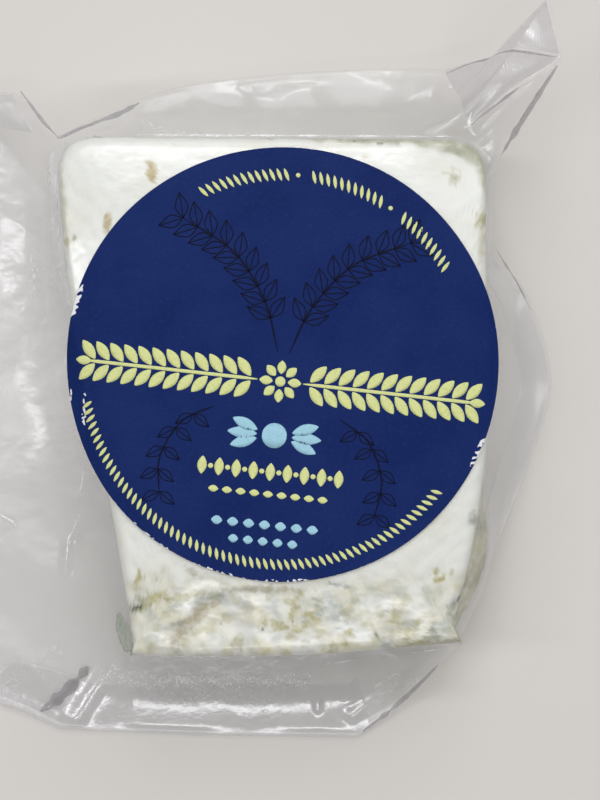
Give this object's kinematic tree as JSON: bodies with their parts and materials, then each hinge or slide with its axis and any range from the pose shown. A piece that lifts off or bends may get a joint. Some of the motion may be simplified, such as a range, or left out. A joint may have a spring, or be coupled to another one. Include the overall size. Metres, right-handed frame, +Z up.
{
  "type": "vacuum-packed block of soft blue goat cheese",
  "caption": "Wedge-shaped block of soft veined goat cheese lying flat in a clear vacuum pouch with a sealed skirt, a raised corner and a round paper label on top.",
  "frame": {"origin": "middle of the pack's footprint, on the surface that it lies on", "axes": "+Z up through the label, +Y along the block from its broken narrow end to its wide end, +X towards the side seam"},
  "size_m": [0.1134, 0.1358, 0.0277],
  "materials": {
    "clear_film": "clear laminated film, soft gloss, knurled along its seams",
    "cheese": "moist, satin, with olive and blue-green veins",
    "navy_paper": "satin coated paper with white cut edges",
    "pale_yellow_ink": "satin print",
    "light_blue_ink": "satin print",
    "dark_ink": "satin print"
  },
  "bodies": {
    "root": {"sealed_pouch": "clear_film", "round_label": "navy_paper"}
  },
  "joints": []
}
